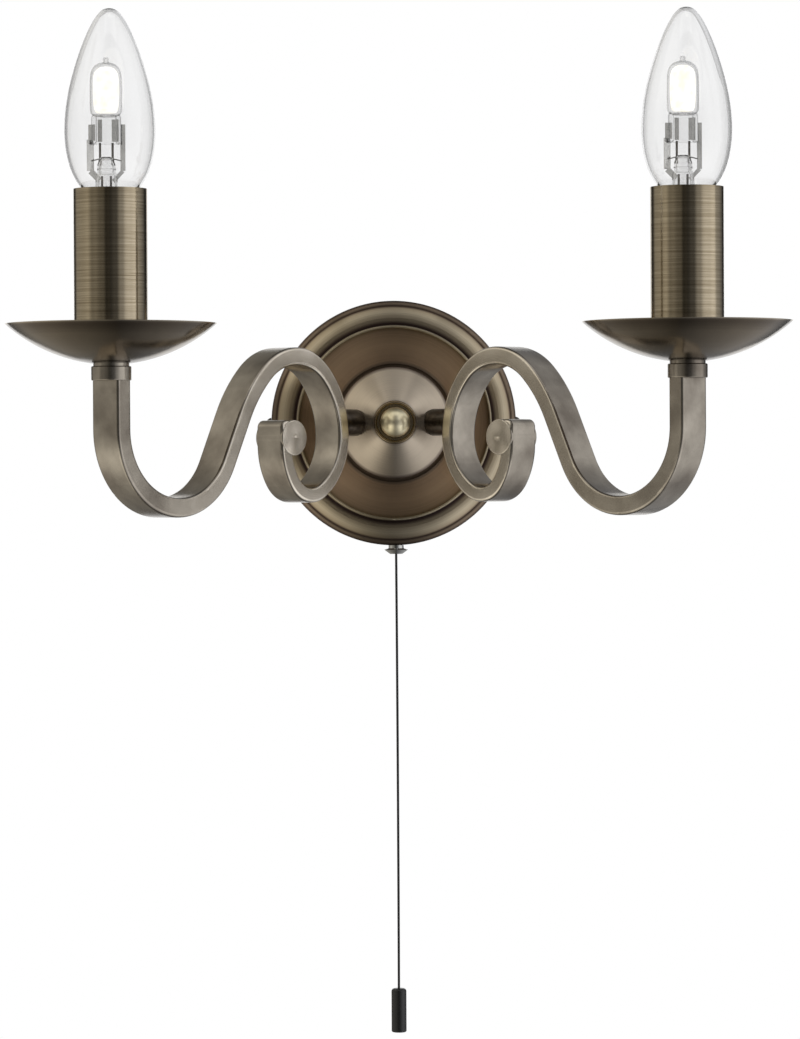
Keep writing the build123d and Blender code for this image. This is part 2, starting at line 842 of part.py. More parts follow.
def earth_screw():
    head = rod_y(earth_head_r, -strap_wall - earth_head, -strap_wall, earth_x, earth_z)
    front = -strap_wall - earth_head
    slot = brick(
        (earth_x - earth_head_r, front, earth_z - earth_slot_width / 2),
        (earth_x + earth_head_r, front + earth_slot, earth_z + earth_slot_width / 2),
    )
    return head - slot + rod_y(earth_shank_r, -strap_wall, 0, earth_x, earth_z)


def side_screw():
    """A domed screw through the pan's right side into the bent tab."""
    seat = plate_r + touch
    curve = (side_head_r**2 + side_head**2) / (2 * side_head)
    half_turn = math.asin(side_head_r / curve) / 2
    crown = (curve * math.sin(half_turn), side_head - curve * (1 - math.cos(half_turn)))
    screw = turned_y(
        Line((0, -side_screw_length), (side_screw_r - running, -side_screw_length)),
        *lines((side_screw_r - running, -side_screw_length), (side_screw_r - running, 0), (side_head_r, 0)),
        ThreePointArc((side_head_r, 0), crown, (0, side_head)),
        Line((0, side_head), (0, -side_screw_length)),
    )
    return Pos(seat, -side_screw_y, 0) * Rot(0, 0, -90) * screw


# ---- terminal block ----
def block_screw_places():
    for column in (-1, 0, 1):
        for drop in block_screw_rows:
            yield column * block_screw_spacing, block_top - drop


def terminal_block():
    width = block_size[0]
    block = brick((-width / 2, -block_front, block_low), (width / 2, -strap_wall, block_top))
    for x, z in block_screw_places():
        block -= rod_y(block_screw_r + running, -block_front, -block_front + block_screw_deep, x, z)
    return block


def terminal_screws():
    deep = -block_front + block_screw_deep
    return [rod_y(block_screw_r, deep - block_screw_height, deep, x, z) for x, z in block_screw_places()]


# ---- wiring ----
def hub_point(u, z):
    """A point of the arm's plane, in the light's own frame."""
    spot = arm_plane.from_local_coords(Vector(u, z, 0))
    return Vector(spot.X, spot.Y, spot.Z)


def arm_lead():
    """Twin core from the terminal block through stub and bar up to the lampholder."""
    bend, turn = loop_bends[0][0], loop_bends[0][1]
    join = math.degrees(math.asin((lead_bend - lead_drop - scroll_z) / (bend + lead_bend)))
    start_u = stub_tail + lead_entry
    straight = scroll_u + bend - (bend + lead_bend) * math.cos(math.radians(join)) - start_u
    legs = [(straight, 0, 0), (lead_bend, 90 - join, 0), (bend, join - turn, 0), *upper_legs[1:]]
    stations = walk((start_u, -lead_drop), 0.0, 0.0, legs)
    stations = [(point, way, 0.0) for point, way, _ in stations]
    top = Vector(candle_u, bore_floor)
    stations.append((top, 90.0, 0.0))
    inside = arm_plane.location * Wire(bar_edge(stations, 90, 0))
    hub_run = [
        Vector(wire_hole_x, -block_front, wire_hole_z),
        Vector(wire_hole_x, -plate_back - hub_bend, wire_hole_z),
        hub_point(stub_tail - 1.5 * lead_entry, -lead_drop),
        hub_point(start_u, -lead_drop),
    ]
    outside = FilletPolyline(*hub_run, radius=hub_bend)
    path = Wire([*outside.edges(), *inside.edges()])
    section = Plane(origin=path @ 0, z_dir=path % 0) * Circle(lead_r)
    lead = sweep(section, path=path)
    expected = math.pi * lead_r**2 * path.length
    print("arm lead", round(path.length, 1), "mm, volume ratio", round(lead.volume / expected, 4))
    return lead


# ---- pull switch ----
switch_low = -plate_r + switch_inset
switch_high = switch_low + switch_size[2]
spring_floor = switch_low + switch_floor
plunger_top = switch_high - switch_lid - head_gap
bush_low = -plate_r - nut_neck - nut_flare - bush_in_taper
nut_low = -plate_r - touch - nut_neck - nut_flare - nut_taper
plunger_low = nut_low + free


def at_switch(shape):
    return Pos(switch_x, switch_y, 0) * shape


def switch_housing():
    width, depth, _ = switch_size
    box = brick((-width / 2, -depth / 2, switch_low), (width / 2, depth / 2, switch_high))
    box = fillet(box.edges().filter_by(Axis.Z), switch_corner)
    box -= rod_z(plunger_head_r + free, spring_floor, switch_high - switch_lid)
    return at_switch(box - rod_z(guide_r, switch_low, spring_floor))


def switch_bush():
    return at_switch(rod_z(bush_r, bush_low, switch_low) - rod_z(guide_r, bush_low, switch_low))


def switch_nut():
    top = -plate_r - touch
    flare_top = top - nut_neck
    flare_low = flare_top - nut_flare
    bore = bush_r + running
    shelf = bush_low - touch
    return at_switch(
        turned_z(
            *lines((bore, top), (nut_neck_r, top), (nut_neck_r, flare_top), (nut_flare_r, flare_low)),
            *lines((nut_flare_r, flare_low), (nut_tip_r, nut_low), (guide_r, nut_low)),
            *lines((guide_r, nut_low), (guide_r, shelf), (bore, shelf), (bore, top)),
        )
    )


def switch_plunger():
    head_low = plunger_top - plunger_head
    return at_switch(
        rod_z(plunger_r, plunger_low, head_low) + rod_z(plunger_head_r, head_low, plunger_top)
    )


def switch_spring():
    low = spring_floor + spring_wire_r
    high = plunger_top - plunger_head - spring_wire_r - touch
    radius = (plunger_r + plunger_head_r) / 2
    coil = Helix(pitch=(high - low) / spring_coils, height=high - low, radius=radius)
    section = Plane(origin=coil @ 0, z_dir=coil % 0) * Circle(spring_wire_r)
    return at_switch(Pos(0, 0, low) * sweep(section, path=coil, is_frenet=True))


def switch_leads():
    places = (switch_x - switch_lead_x, switch_x + switch_lead_x)
    return [rod_z(lead_r, switch_high, block_low, x, switch_y) for x in places]


cord_top = plunger_low
cord_low = cord_top - cord_length


def pull_cord():
    """A weighted cord, all but straight: one long run with a slight bow."""
    points = [
        (switch_x, switch_y, cord_top),
        (switch_x + cord_bow, switch_y, (cord_top + cord_low) / 2),
        (switch_x + cord_lean, switch_y, cord_low),
    ]
    runs = [Vector(*b) - Vector(*a) for a, b in zip(points, points[1:])]
    radii = []
    for before, after in zip(runs, runs[1:]):
        half_turn = math.radians(before.get_angle(after) / 2)
        radii.append(0.45 * min(before.length, after.length) / math.tan(half_turn))
    print("cord bend radii", [round(radius) for radius in radii])
    path = FilletPolyline(*points, radius=radii)
    section = Plane(origin=path @ 0, z_dir=path % 0) * Circle(cord_r)
    cord = sweep(section, path=path)
    expected = math.pi * cord_r**2 * path.length
    print("cord", round(path.length, 1), "mm, volume ratio", round(cord.volume / expected, 4))
    return cord


def pull_knob():
    knob = rod_z(knob_r, cord_low - knob_length, cord_low, switch_x + cord_lean, switch_y)
    knob = fillet(knob.edges().filter_by(GeomType.CIRCLE).group_by(Axis.Z)[-1], knob_round)
    return fillet(knob.edges().filter_by(GeomType.CIRCLE).group_by(Axis.Z)[0], knob_round / 2)


# ---- write the sub-parts ----
save("wall_bracket", wall_bracket())
save("earth_screw", earth_screw())
save("backplate", backplate())
save_group("side_screws", [side_screw(), mirror(side_screw(), about=Plane.YZ)])
save("hub_cone", hub_cone())
save("finial_cup", finial_cup())
save("finial_ball", finial_ball())
save("centre_stud", rod_y(stud_r, -stud_front, -stud_back))
save("centre_nut", centre_nut())

in_place = arm_plane.location
save_pair("arm", in_place * scroll_arm())
save_pair("arm_stub", in_place * arm_stub())
stub_nuts = in_place * stub_nut()
save_group("stub_nuts", [stub_nuts, mirror(stub_nuts, about=Plane.YZ)])
save_group("stub_saddles", [stub_saddle(), mirror(stub_saddle(), about=Plane.YZ)])

candle = Pos(candle_x, candle_y, 0)
for name, shape in (
    ("arm_collar", collar()),
    ("drip_tray", drip_tray()),
    ("nipple", nipple()),
    ("candle_tube", candle_tube()),
    ("holder_bracket", holder_bracket()),
    ("holder_body", holder_body()),
    ("holder_shell", holder_shell()),
    ("holder_tongue", holder_tongue()),
    ("lamp_glass", lamp_glass()),
    ("lamp_cap", lamp_cap()),
    ("lamp_tip", lamp_tip()),
    ("lamp_capsule", lamp_capsule()),
    ("lamp_filament", lamp_filament()),
    ("lamp_stem", lamp_stem()),
    ("lamp_supports", Compound(children=lamp_supports())),
):
    save_pair(name, candle * shape)
right_nuts = [candle * nut for nut in tray_nuts()]
save_group("tray_nuts", [*right_nuts, *(mirror(nut, about=Plane.YZ) for nut in right_nuts)])

save_pair("arm_lead", arm_lead())
save("terminal_block", terminal_block())
save_group("terminal_screws", terminal_screws())
save("switch_housing", switch_housing())
save("switch_bush", switch_bush())
save("switch_nut", switch_nut())
save("switch_plunger", switch_plunger())
save("switch_spring", switch_spring())
save_group("switch_leads", switch_leads())
save("pull_cord", pull_cord())
save("pull_knob", pull_knob())
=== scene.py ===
import json
import math

import bmesh
import bpy
from mathutils import Matrix, Vector


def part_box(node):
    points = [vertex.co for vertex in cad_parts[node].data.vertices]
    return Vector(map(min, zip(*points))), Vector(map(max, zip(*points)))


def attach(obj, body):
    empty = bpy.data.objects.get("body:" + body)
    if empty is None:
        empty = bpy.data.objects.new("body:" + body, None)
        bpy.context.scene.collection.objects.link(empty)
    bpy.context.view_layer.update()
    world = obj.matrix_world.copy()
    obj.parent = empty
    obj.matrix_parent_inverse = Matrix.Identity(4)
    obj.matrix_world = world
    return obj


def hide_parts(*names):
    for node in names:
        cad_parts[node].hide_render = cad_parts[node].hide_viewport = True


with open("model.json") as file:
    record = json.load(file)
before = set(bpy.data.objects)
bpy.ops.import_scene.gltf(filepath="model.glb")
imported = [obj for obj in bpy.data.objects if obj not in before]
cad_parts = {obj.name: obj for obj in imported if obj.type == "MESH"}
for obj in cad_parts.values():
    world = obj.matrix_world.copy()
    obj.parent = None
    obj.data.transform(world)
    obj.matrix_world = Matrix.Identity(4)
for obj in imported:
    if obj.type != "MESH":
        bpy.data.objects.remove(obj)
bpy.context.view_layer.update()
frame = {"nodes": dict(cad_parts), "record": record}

nodes = frame["nodes"]
scene = bpy.context.scene
scene.view_settings.view_transform = "Standard"
print("frame loaded:", len(nodes), "nodes")

photo = {
    "width": 800,
    "height": 1039,
    "film": 36,    # millimetres along the longer side, the height
    "focalPixels": 4000,
    "eye": (-0.0345, -1.662, -0.0194),    # metres from the backplate's centre on the wall
    "straightAhead": (310.7, 470.0),    # pixel that lies straight ahead along +Y
    "roll": -0.3,
}


def placeCamera():
    data = bpy.data.cameras.new("photoCamera")
    data.sensor_width = photo["film"]
    data.lens = photo["focalPixels"] * photo["film"] / photo["height"]
    data.clip_end = 20
    camera = bpy.data.objects.new("photoCamera", data)
    scene.collection.objects.link(camera)
    yaw = math.atan((photo["width"] / 2 - photo["straightAhead"][0]) / photo["focalPixels"])
    pitch = math.atan((photo["height"] / 2 - photo["straightAhead"][1]) / photo["focalPixels"])
    turn = Matrix.Rotation(-yaw, 4, "Z") @ Matrix.Rotation(math.pi / 2 - pitch, 4, "X")
    turn = turn @ Matrix.Rotation(math.radians(photo["roll"]), 4, "Z")
    camera.matrix_world = Matrix.Translation(photo["eye"]) @ turn
    scene.camera = camera


placeCamera()
print("camera placed")


def hexColour(code):    # sRGB hex to linear
    parts = [int(code[i:i + 2], 16) / 255 for i in (1, 3, 5)]
    return [c / 12.92 if c <= 0.04045 else ((c + 0.055) / 1.055) ** 2.4 for c in parts] + [1.0]


def grey(level):
    return (level, level, level, 1)


# one shader node with its settings, socket values and incoming links
def addNode(tree, kind, links=(), values=(), **settings):
    node = tree.nodes.new("ShaderNode" + kind)
    for name, value in settings.items():
        setattr(node, name, value)
    for socket, value in dict(values).items():
        node.inputs[socket].default_value = value
    for socket, source in dict(links).items():
        tree.links.new(source, node.inputs[socket])
    return node


def newMaterial(name):
    material = bpy.data.materials.new(name)
    material.use_nodes = True
    material.node_tree.nodes.clear()
    return material, material.node_tree


def setRamp(node, stops):
    ramp = node.color_ramp
    while len(ramp.elements) > 1:
        ramp.elements.remove(ramp.elements[-1])
    for number, (place, colour) in enumerate(stops):
        stop = ramp.elements[0] if number == 0 else ramp.elements.new(place)
        stop.position = place
        stop.color = colour


bumpDepth = 0.0001      # metres from a bump pattern's black to its white
crossways = 0.25        # a quarter turn sets highlights square to the brushing

# limp braided cord that hangs from the switch to the knob, nearly straight
pullCord = {
    "route": [(0.0008, -0.0062, -0.0538), (0.00115, -0.0062, -0.14405), (0.001, -0.0062, -0.2343)],
    "diameter": 0.001,
    "length": 0.1805,
}


def makeCord():
    curve = bpy.data.curves.new("pullCordLine", "CURVE")
    curve.dimensions = "3D"
    curve.bevel_depth = 1.0    # times each point's own radius
    curve.bevel_resolution = 6
    curve.resolution_u = 24
    curve.use_fill_caps = True
    spline = curve.splines.new("NURBS")
    spline.points.add(len(pullCord["route"]) - 1)
    for point, place in zip(spline.points, pullCord["route"]):
        point.co = (*place, 1)
        point.radius = pullCord["diameter"] / 2
    spline.order_u = 3
    spline.use_endpoint_u = True
    cord = bpy.data.objects.new("pullCordLine", curve)
    scene.collection.objects.link(cord)
    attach(cord, "pull")
    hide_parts("pull_cord")
    return cord


cord = makeCord()
print("cord made")


def middle(node):
    low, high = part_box(node)
    return (Vector(low) + Vector(high)) / 2


# brass spun or turned on a lathe and lacquered: fine rings round its axis, a colour by radius with patina
# dark in the grooves and painted shade and painted highlights at set radii, and highlights drawn out square
# to the rings; real turning lines are finer than these, which are as coarse as they need to be to show
def turnedBrass(name, look):
    material, tree = newMaterial(name)
    centre = look["centre"]
    along = look["axis"]
    flatten = (1, 0, 1) if along == "Y" else (1, 1, 0)
    place = addNode(tree, "TexCoord")
    flat = addNode(
        tree, "Mapping", links={"Vector": place.outputs["Object"]},
        values={"Scale": flatten, "Location": [-c * f for c, f in zip(centre, flatten)]},
    )
    radius = addNode(tree, "VectorMath", operation="LENGTH", links={0: flat.outputs[0]})
    rings = addNode(
        tree, "TexNoise", noise_dimensions="1D", links={"W": radius.outputs["Value"]},
        values={"Scale": 1 / look["ringSpacing"], "Detail": 2.0, "Roughness": 0.6},
    )
    cloud = addNode(
        tree, "TexNoise", links={"Vector": place.outputs["Object"]},
        values={"Scale": 1 / look["cloudSize"], "Detail": 3.0},
    )
    share = addNode(
        tree, "Math", operation="DIVIDE", links={0: radius.outputs["Value"]}, values={1: look["radius"]}
    )
    # painted shade and painted highlights ride in this colour by radius along with the patina
    baseColours = addNode(tree, "ValToRGB", links={"Fac": share.outputs[0]})
    setRamp(baseColours, [(at / look["radius"], hexColour(code)) for at, code in look["baseColours"]])
    blend = addNode(
        tree, "Math", operation="MULTIPLY_ADD", links={0: rings.outputs["Fac"], 2: cloud.outputs["Fac"]},
        values={1: look["ringShare"]},
    )
    wear = addNode(tree, "ValToRGB", links={"Fac": blend.outputs[0]})
    unworn = 0.3 + 0.6 * (0.5 + look["ringShare"])    # near the top of what the two noises add up to
    setRamp(wear, [(0.3, grey(look["wear"])), (unworn, grey(1.0))])
    colour = addNode(
        tree, "MixRGB", blend_type="MULTIPLY",
        links={1: baseColours.outputs[0], 2: wear.outputs[0]}, values={0: 1.0},
    )
    gloss = addNode(tree, "ValToRGB", links={"Fac": share.outputs[0]})
    setRamp(gloss, [(at / look["radius"], grey(value)) for at, value in look["roughness"]])
    bump = addNode(
        tree, "Bump", links={"Height": rings.outputs["Fac"]},
        values={"Strength": look["bump"], "Distance": bumpDepth},
    )
    tangent = addNode(tree, "Tangent", direction_type="RADIAL", axis=along)
    shader = addNode(
        tree, "BsdfPrincipled",
        links={
            "Base Color": colour.outputs[0], "Roughness": gloss.outputs[0], "Normal": bump.outputs[0],
            "Tangent": tangent.outputs[0],
        },
        values={"Metallic": 1.0, "Anisotropic": look["stretch"], "Anisotropic Rotation": crossways},
    )
    addNode(tree, "OutputMaterial", links={"Surface": shader.outputs[0]})
    return material


plateLook = {
    "centre": middle("backplate"), "axis": "Y", "radius": 0.0505,
    # metres from the centre and colour: sunk seat, disc, bead, groove, outer band, line, rim; the dark
    # groove is patina and painted shade, the darker seat, line and rim are painted shade, and the pale bead
    # is a painted highlight
    "baseColours": [
        (0.0225, "#8a7a68"), (0.0248, "#8d7a66"), (0.0256, "#b09478"), (0.0320, "#bfa283"),
        (0.0375, "#a88e72"), (0.0388, "#8a7558"), (0.0393, "#bdb093"), (0.0398, "#b5a88e"),
        (0.0403, "#4a3c38"), (0.0412, "#5c4c45"), (0.0424, "#b8a88e"), (0.0455, "#cdbfa4"),
        (0.0474, "#b5a58b"), (0.0481, "#57473e"), (0.0490, "#8d7d6b"), (0.0505, "#52433b"),
    ],
    "ringSpacing": 0.0005, "ringShare": 0.6, "cloudSize": 0.02, "wear": 0.72,
    "bump": 0.08, "roughness": [(0.0375, 0.4), (0.0400, 0.34), (0.0505, 0.32)], "stretch": 0.95,
}
coneLook = {
    "centre": middle("hub_cone"), "axis": "Y", "radius": 0.0228,
    # painted shade: darker at the cone's foot where it meets the plate, and darker towards the hole
    "baseColours": [(0.008, "#a89d90"), (0.010, "#d2c4b0"), (0.0215, "#c9bca9"), (0.0226, "#7a6d63")],
    "ringSpacing": 0.0004, "ringShare": 0.8, "cloudSize": 0.012, "wear": 0.75,
    "bump": 0.08, "roughness": [(0.0, 0.36)], "stretch": 0.85,
}
cupLook = {
    "centre": middle("finial_cup"), "axis": "Y", "radius": 0.0085,
    # painted shade round the ball inside the cup, and a painted highlight on its lip
    "baseColours": [(0.0, "#7d6f58"), (0.0062, "#6d604c"), (0.0072, "#b3a285"), (0.0080, "#8d7c62")],
    "ringSpacing": 0.0005, "ringShare": 0.5, "cloudSize": 0.01, "wear": 0.8,
    "bump": 0.05, "roughness": [(0.0, 0.25)], "stretch": 0.3,
}
ballLook = {
    "centre": middle("finial_ball"), "axis": "Y", "radius": 0.0065,
    "baseColours": [(0.0, "#f3e8c8"), (0.0062, "#eee2bc")],
    "ringSpacing": 0.0006, "ringShare": 0.5, "cloudSize": 0.003, "wear": 0.8,
    "bump": 0.04, "roughness": [(0.0, 0.34)], "stretch": 0.0,
}
trayLook = {
    "axis": "Z", "radius": 0.0405,
    # painted shade: darkest at the foot and under the rim; pale at the lip
    "baseColours": [
        (0.006, "#4d443a"), (0.012, "#5f5548"), (0.022, "#8f8372"), (0.034, "#8b7f6e"), (0.0388, "#6b6053"),
        (0.0398, "#75695b"), (0.0403, "#c6baa6"),
    ],
    "ringSpacing": 0.0005, "ringShare": 0.7, "cloudSize": 0.015, "wear": 0.75,
    "bump": 0.06, "roughness": [(0.0, 0.17)], "stretch": 0.5,
}


# brass tube brushed round and round: level scratches of many lengths, crisp upright highlights
def brushedTube(look):
    material, tree = newMaterial("brushed antique brass tube")
    place = addNode(tree, "TexCoord")
    squeeze = addNode(
        tree, "Mapping", links={"Vector": place.outputs["Object"]},
        values={"Scale": (1 / look["scratchLength"], 1 / look["scratchLength"], 1 / look["scratchSpacing"])},
    )
    scratches = addNode(
        tree, "TexNoise", links={"Vector": squeeze.outputs[0]},
        values={"Scale": 1.0, "Detail": 4.0, "Roughness": 0.7},
    )
    colour = addNode(tree, "ValToRGB", links={"Fac": scratches.outputs["Fac"]})
    setRamp(colour, [(0.32, hexColour(look["dark"])), (0.68, hexColour(look["light"]))])
    bump = addNode(
        tree, "Bump", links={"Height": scratches.outputs["Fac"]},
        values={"Strength": look["bump"], "Distance": bumpDepth},
    )
    tangent = addNode(tree, "Tangent", direction_type="RADIAL", axis="Z")
    shader = addNode(
        tree, "BsdfPrincipled",
        links={"Base Color": colour.outputs[0], "Normal": bump.outputs[0], "Tangent": tangent.outputs[0]},
        values={
            "Metallic": 1.0, "Roughness": look["roughness"], "Anisotropic": look["stretch"],
            "Anisotropic Rotation": crossways,
        },
    )
    addNode(tree, "OutputMaterial", links={"Surface": shader.outputs[0]})
    return material


tubeLook = {
    "light": "#bdb098", "dark": "#8f8169", "scratchSpacing": 0.0005, "scratchLength": 0.04,
    "bump": 0.06, "roughness": 0.16, "stretch": 0.6,
}


# flat brass strip bent cold: satin and cloudy, its flat sides brightened towards the scroll with painted
# light
def satinStrip(look):
    material, tree = newMaterial("satin antique brass strip")
    place = addNode(tree, "TexCoord")
    cloud = addNode(
        tree, "TexNoise", links={"Vector": place.outputs["Object"]},
        values={"Scale": 1 / look["cloudSize"], "Detail": 4.0},
    )
    tones = []
    for low, high in (look["baseColours"], look["paintedLightTones"]):
        tones.append(addNode(tree, "ValToRGB", links={"Fac": cloud.outputs["Fac"]}))
        setRamp(tones[-1], [(0.3, hexColour(low)), (0.7, hexColour(high))])
    spot = addNode(tree, "SeparateXYZ", links={"Vector": place.outputs["Object"]})
    facing = addNode(tree, "SeparateXYZ", links={"Vector": place.outputs["Normal"]})
    # the arms swing out to either side, so on their flat sides X times Y of the normal has that side's sign
    side = addNode(tree, "Math", operation="SIGN", links={0: spot.outputs["X"]})
    across = addNode(
        tree, "Math", operation="MULTIPLY", links={0: facing.outputs["X"], 1: facing.outputs["Y"]}
    )
    squareOn = addNode(
        tree, "Math", operation="MULTIPLY", links={0: side.outputs[0], 1: across.outputs[0]}
    )
    # painted light: the flat sides, most of all towards the scroll, take the brighter tone in place of the
    # base tone
    flat = addNode(tree, "ValToRGB", links={"Fac": squareOn.outputs[0]})
    setRamp(flat, [(0.1, grey(0.0)), (0.35, grey(1.0))])
    depth = addNode(
        tree, "Math", operation="DIVIDE", links={0: spot.outputs["Y"]}, values={1: -look["depth"]}
    )
    near = addNode(tree, "ValToRGB", links={"Fac": depth.outputs[0]})
    setRamp(near, [(at / look["depth"], grey(share)) for at, share in look["paintedLightByDepth"]])
    share = addNode(tree, "Math", operation="MULTIPLY", links={0: flat.outputs[0], 1: near.outputs[0]})
    colour = addNode(
        tree, "MixRGB", links={0: share.outputs[0], 1: tones[0].outputs[0], 2: tones[1].outputs[0]}
    )
    speckle = addNode(
        tree, "TexNoise", links={"Vector": place.outputs["Object"]},
        values={"Scale": 1 / look["grain"], "Detail": 2.0},
    )
    bump = addNode(
        tree, "Bump", links={"Height": speckle.outputs["Fac"]},
        values={"Strength": look["bump"], "Distance": bumpDepth},
    )
    shader = addNode(
        tree, "BsdfPrincipled", links={"Base Color": colour.outputs[0], "Normal": bump.outputs[0]},
        values={"Metallic": 1.0, "Roughness": look["roughness"]},
    )
    addNode(tree, "OutputMaterial", links={"Surface": shader.outputs[0]})
    return material


stripLook = {
    # the second pair of tones is painted light for the flat sides near the scroll
    "baseColours": ("#776f65", "#b3ab9e"), "paintedLightTones": ("#c2b8a8", "#e4dbcc"), "cloudSize": 0.018, "grain": 0.0006,
    # metres out from the wall, and how far the painted light tone has taken over there
    "paintedLightByDepth": [(0.03, 1.0), (0.066, 1.0), (0.085, 0.6), (0.105, 0.5), (0.116, 0.4), (0.123, 0.0)],
    "depth": 0.14, "bump": 0.02, "roughness": 0.24,
}


# plated, cast, drawn, moulded or braided: one colour with faint clouds and a fine grain
def plainFinish(look):
    material, tree = newMaterial(look["name"])
    place = addNode(tree, "TexCoord")
    cloud = addNode(
        tree, "TexNoise", links={"Vector": place.outputs["Object"]},
        values={"Scale": 1 / look["size"], "Detail": 4.0},
    )
    colour = addNode(tree, "ValToRGB", links={"Fac": cloud.outputs["Fac"]})
    setRamp(colour, [(0.3, hexColour(look["dark"])), (0.7, hexColour(look["light"]))])
    grain = addNode(
        tree, "TexNoise", links={"Vector": place.outputs["Object"]},
        values={"Scale": 1 / look["size"], "Detail": 2.0},
    )
    bump = addNode(
        tree, "Bump", links={"Height": grain.outputs["Fac"]},
        values={"Strength": look["bump"], "Distance": bumpDepth},
    )
    shader = addNode(
        tree, "BsdfPrincipled", links={"Base Color": colour.outputs[0], "Normal": bump.outputs[0]},
        values={"Metallic": look["metallic"], "Roughness": look["roughness"]},
    )
    addNode(tree, "OutputMaterial", links={"Surface": shader.outputs[0]})
    return material


plainLooks = {
    "dark_bronze": {    # painted shade: brass darkened nearly to brown-black
        "name": "dark antique brass", "dark": "#3a342d", "light": "#5a5248", "size": 0.002,
        "roughness": 0.3, "metallic": 1.0, "bump": 0.05,
    },
    "brass": {    # bright yellow brass of the small fittings
        "name": "polished pale brass", "dark": "#c0b184", "light": "#d8cb9f", "size": 0.004,
        "roughness": 0.16, "metallic": 1.0, "bump": 0.05,
    },
    "zinc_steel": {    # cool grey with the cloudy bloom of zinc
        "name": "zinc plated steel", "dark": "#a9acae", "light": "#c3c6c8", "size": 0.004,
        "roughness": 0.35, "metallic": 1.0, "bump": 0.05,
    },
    "nickel": {    # bright and even, a little warm
        "name": "nickel plate", "dark": "#bdbcb8", "light": "#d3d2ce", "size": 0.004,
        "roughness": 0.15, "metallic": 1.0, "bump": 0.05,
    },
    "white_plastic": {    # off-white with a soft sheen
        "name": "moulded white plastic", "dark": "#e2e0da", "light": "#efede8", "size": 0.001,
        "roughness": 0.45, "metallic": 0.0, "bump": 0.05,
    },
    "black_insulator": {    # glossy black
        "name": "black glass insulator", "dark": "#0d0d0e", "light": "#1a1a1b", "size": 0.002,
        "roughness": 0.15, "metallic": 0.0, "bump": 0.05,
    },
    "tungsten": {    # dull grey wire
        "name": "drawn wire", "dark": "#4e4a45", "light": "#6b665f", "size": 0.0005,
        "roughness": 0.35, "metallic": 1.0, "bump": 0.05,
    },
    "lead_sheath": {    # cream and satin
        "name": "flexible sheath", "dark": "#dad7cf", "light": "#e8e6df", "size": 0.001,
        "roughness": 0.5, "metallic": 0.0, "bump": 0.05,
    },
    "cord": {    # matt black, its braid too fine to see one strand
        "name": "black braided cord", "dark": "#0b0b0b", "light": "#1c1b1b", "size": 0.0005,
        "roughness": 0.6, "metallic": 0.0, "bump": 0.1,
    },
    "black_plastic": {    # satin black knob
        "name": "satin black plastic", "dark": "#0c0c0c", "light": "#191919", "size": 0.0008,
        "roughness": 0.35, "metallic": 0.0, "bump": 0.05,
    },
}


# blown soda-lime or quartz glass: clear, smooth, outlined by its own wall
def clearGlass(look):
    material, tree = newMaterial(look["name"])
    shader = addNode(
        tree, "BsdfPrincipled",
        values={
            "Base Color": hexColour(look["tint"]), "Roughness": 0.0, "IOR": look["ior"],
            "Transmission Weight": 1.0,
        },
    )
    addNode(tree, "OutputMaterial", links={"Surface": shader.outputs[0]})
    return material


glassLook = {"name": "clear blown glass", "tint": "#f8f8f8", "ior": 1.5}


# the lit coil, too bright to show its turns: an even warm white
def whiteHot(look):
    material, tree = newMaterial(look["name"])
    place = addNode(tree, "TexCoord")
    flicker = addNode(
        tree, "TexNoise", links={"Vector": place.outputs["Object"]},
        values={"Scale": 1 / look["size"], "Detail": 2.0},
    )
    colour = addNode(tree, "ValToRGB", links={"Fac": flicker.outputs["Fac"]})
    setRamp(colour, [(0.3, hexColour(look["cooler"])), (0.6, hexColour(look["hotter"]))])
    shader = addNode(
        tree, "BsdfPrincipled", links={"Base Color": colour.outputs[0], "Emission Color": colour.outputs[0]},
        values={"Roughness": 0.6, "Emission Strength": look["strength"]},
    )
    addNode(tree, "OutputMaterial", links={"Surface": shader.outputs[0]})
    return material


hotLook = {
    "name": "white hot tungsten", "cooler": "#fff6df", "hotter": "#fffefa", "size": 0.0025, "strength": 1.1,
}

# by material slot
finishes = {
    "spun_brass": turnedBrass("spun antique brass", plateLook),
    "aged_bronze": satinStrip(stripLook),
    "brushed_brass": brushedTube(tubeLook),
    "polished_bronze": turnedBrass("turned antique brass", coneLook),
    "clear_glass": clearGlass(glassLook),
}
for slot, look in plainLooks.items():
    finishes[slot] = plainFinish(look)
hotCoil = whiteHot(hotLook)
# by node, where a piece has rings or a colour of its own
ownFinishes = {
    "finial_cup": turnedBrass("turned brass cup", cupLook),
    "finial_ball": turnedBrass("turned pale brass ball", ballLook),
}
for side in ("left", "right"):
    tray = side + "_drip_tray"
    ownFinishes[tray] = turnedBrass(side + " spun tray brass", {**trayLook, "centre": middle(tray)})
for part in frame["record"]["subparts"]:
    mesh = nodes[part["node"]].data
    mesh.materials.clear()
    mesh.materials.append(ownFinishes.get(part["node"], finishes[part["material_slot"]]))
cord.data.materials.append(finishes["cord"])
print("materials made")


